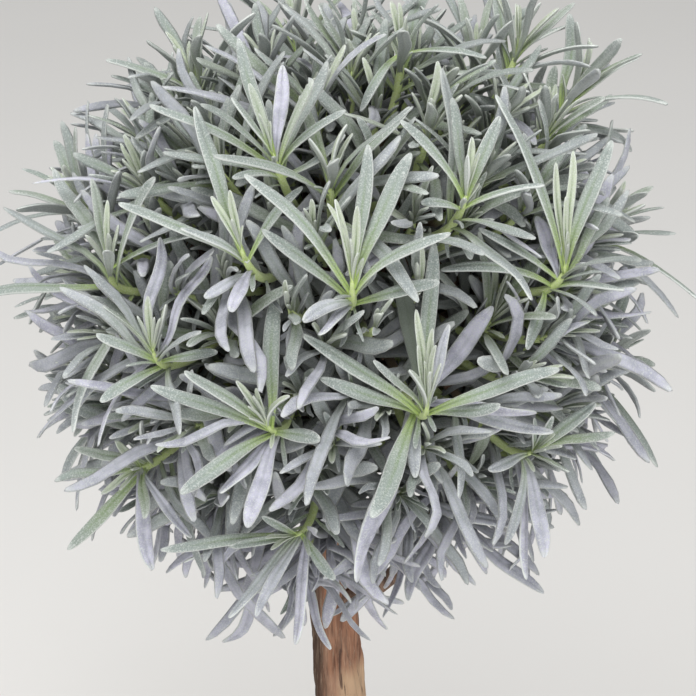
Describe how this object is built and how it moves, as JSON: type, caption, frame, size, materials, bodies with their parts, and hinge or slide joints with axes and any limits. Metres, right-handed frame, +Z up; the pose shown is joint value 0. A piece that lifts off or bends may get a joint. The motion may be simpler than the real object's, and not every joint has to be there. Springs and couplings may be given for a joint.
{
  "type": "potted lavender standard",
  "caption": "Ball of narrow grey-green leafy shoots on a bare woody trunk, rooted in soil in a plain round clay pot that stands on its flat base.",
  "frame": {"origin": "centre of the pot's flat base, on the surface that it stands on", "axes": "+Z up along the trunk, -Y towards the viewer of the picture, +X to the viewer's right"},
  "size_m": [0.2271, 0.2151, 0.5031],
  "materials": {
    "clay_pot": "matt unglazed fired clay",
    "potting_soil": null,
    "bark": "matt fibrous bark",
    "foliage": null
  },
  "bodies": {
    "root": {"leafy_shoot_01": "foliage", "leafy_shoot_02": "foliage", "leafy_shoot_03": "foliage", "leafy_shoot_04": "foliage", "leafy_shoot_05": "foliage", "leafy_shoot_06": "foliage", "leafy_shoot_07": "foliage", "leafy_shoot_08": "foliage", "leafy_shoot_09": "foliage", "leafy_shoot_10": "foliage", "leafy_shoot_11": "foliage", "leafy_shoot_12": "foliage", "leafy_shoot_13": "foliage", "leafy_shoot_14": "foliage", "leafy_shoot_15": "foliage", "leafy_shoot_16": "foliage", "leafy_shoot_17": "foliage", "leafy_shoot_18": "foliage", "leafy_shoot_19": "foliage", "leafy_shoot_20": "foliage", "leafy_shoot_21": "foliage", "leafy_shoot_22": "foliage", "leafy_shoot_23": "foliage", "leafy_shoot_24": "foliage", "leafy_shoot_25": "foliage", "leafy_shoot_26": "foliage", "leafy_shoot_27": "foliage", "leafy_shoot_28": "foliage", "leafy_shoot_29": "foliage", "leafy_shoot_30": "foliage", "leafy_shoot_31": "foliage", "leafy_shoot_32": "foliage", "leafy_shoot_33": "foliage", "leafy_shoot_34": "foliage", "leafy_shoot_35": "foliage", "leafy_shoot_36": "foliage", "leafy_shoot_37": "foliage", "leafy_shoot_38": "foliage", "leafy_shoot_39": "foliage", "leafy_shoot_40": "foliage", "leafy_shoot_41": "foliage", "leafy_shoot_42": "foliage", "leafy_shoot_43": "foliage", "leafy_shoot_44": "foliage", "leafy_shoot_45": "foliage", "leafy_shoot_46": "foliage", "leafy_shoot_47": "foliage", "leafy_shoot_48": "foliage", "leafy_shoot_49": "foliage", "pot": "clay_pot", "potting_soil": "potting_soil", "trunk_and_branches": "bark"}
  },
  "joints": []
}
